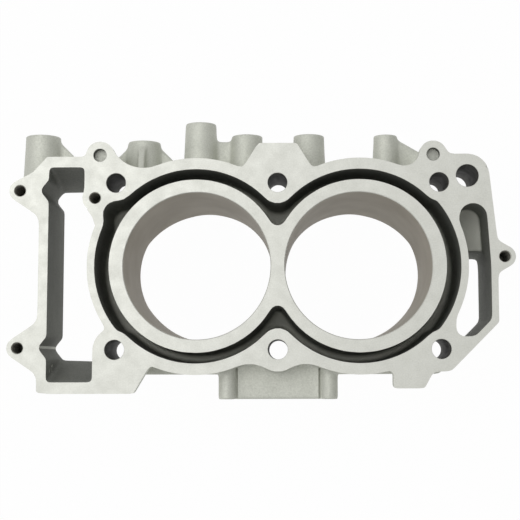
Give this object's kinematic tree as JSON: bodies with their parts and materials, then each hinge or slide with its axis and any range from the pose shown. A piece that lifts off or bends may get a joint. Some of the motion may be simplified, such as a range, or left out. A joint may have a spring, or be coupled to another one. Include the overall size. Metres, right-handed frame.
{
  "type": "engine cylinder block",
  "caption": "Cast aluminium engine cylinder block with two plated bores, an open water jacket, a chain tunnel and through bolt holes.",
  "frame": {"origin": "on the machined deck face, midway between the two bores", "axes": "+Z out of the deck towards the cylinder head, +X along the row of bores away from the chain tunnel, +Y towards the side with the round bosses"},
  "size_m": [0.32, 0.1802, 0.108],
  "materials": {
    "cast_aluminium": "fine shot-blasted casting with milled faces and plated bores"
  },
  "bodies": {
    "root": {"cylinder_block": "cast_aluminium"}
  },
  "joints": []
}
